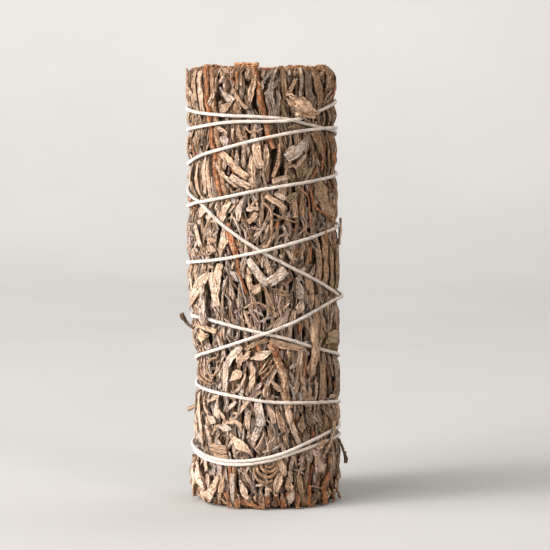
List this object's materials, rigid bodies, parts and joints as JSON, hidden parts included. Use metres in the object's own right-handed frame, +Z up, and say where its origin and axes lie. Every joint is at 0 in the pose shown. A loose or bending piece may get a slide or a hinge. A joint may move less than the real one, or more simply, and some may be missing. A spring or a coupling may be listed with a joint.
{
  "type": "sage bunch",
  "caption": "Upright bundle of dried sage sprigs, cut square at both ends and bound with a single length of thin white cotton twine.",
  "frame": {"origin": "middle of the bounding box at the base, on the surface the bunch stands on", "axes": "+Z up along the stems, -Y towards the front, +X to the right seen from the front"},
  "size_m": [0.0473, 0.0463, 0.1254],
  "materials": {
    "sage_leaves": "dry, matte, woolly pressed leaves in tan, grey and brown",
    "sage_stems": "thin flaking red-brown bark over pale wood, dry and matte",
    "cotton_twine": "off-white three-ply cotton, slightly fuzzy"
  },
  "bodies": {
    "root": {"loose_leaf_left_broad": "sage_leaves", "loose_leaf_left_low": "sage_leaves", "loose_leaf_left_tip": "sage_leaves", "loose_leaf_right": "sage_leaves", "loose_leaf_right_low": "sage_leaves", "loose_leaf_upper_right": "sage_leaves", "loose_stem_front": "sage_stems", "loose_twig_right_low": "sage_stems", "sprig_core": "sage_leaves", "sprig_inner_01": "sage_leaves", "sprig_inner_02": "sage_leaves", "sprig_inner_03": "sage_leaves", "sprig_inner_04": "sage_leaves", "sprig_inner_05": "sage_leaves", "sprig_inner_06": "sage_leaves", "sprig_middle_01": "sage_leaves", "sprig_middle_02": "sage_leaves", "sprig_middle_03": "sage_leaves", "sprig_middle_04": "sage_leaves", "sprig_middle_05": "sage_leaves", "sprig_middle_06": "sage_leaves", "sprig_middle_07": "sage_leaves", "sprig_middle_08": "sage_leaves", "sprig_middle_09": "sage_leaves", "sprig_middle_10": "sage_leaves", "sprig_middle_11": "sage_leaves", "sprig_middle_12": "sage_leaves", "sprig_outer_01": "sage_leaves", "sprig_outer_02": "sage_leaves", "sprig_outer_03": "sage_leaves", "sprig_outer_04": "sage_leaves", "sprig_outer_05": "sage_leaves", "sprig_outer_06": "sage_leaves", "sprig_outer_07": "sage_leaves", "sprig_outer_08": "sage_leaves", "sprig_outer_09": "sage_leaves", "sprig_outer_10": "sage_leaves", "sprig_outer_11": "sage_leaves", "sprig_outer_12": "sage_leaves", "sprig_outer_13": "sage_leaves", "sprig_outer_14": "sage_leaves", "sprig_outer_15": "sage_leaves", "sprig_outer_16": "sage_leaves", "sprig_outer_17": "sage_leaves", "sprig_outer_18": "sage_leaves", "twine": "cotton_twine"}
  },
  "joints": []
}
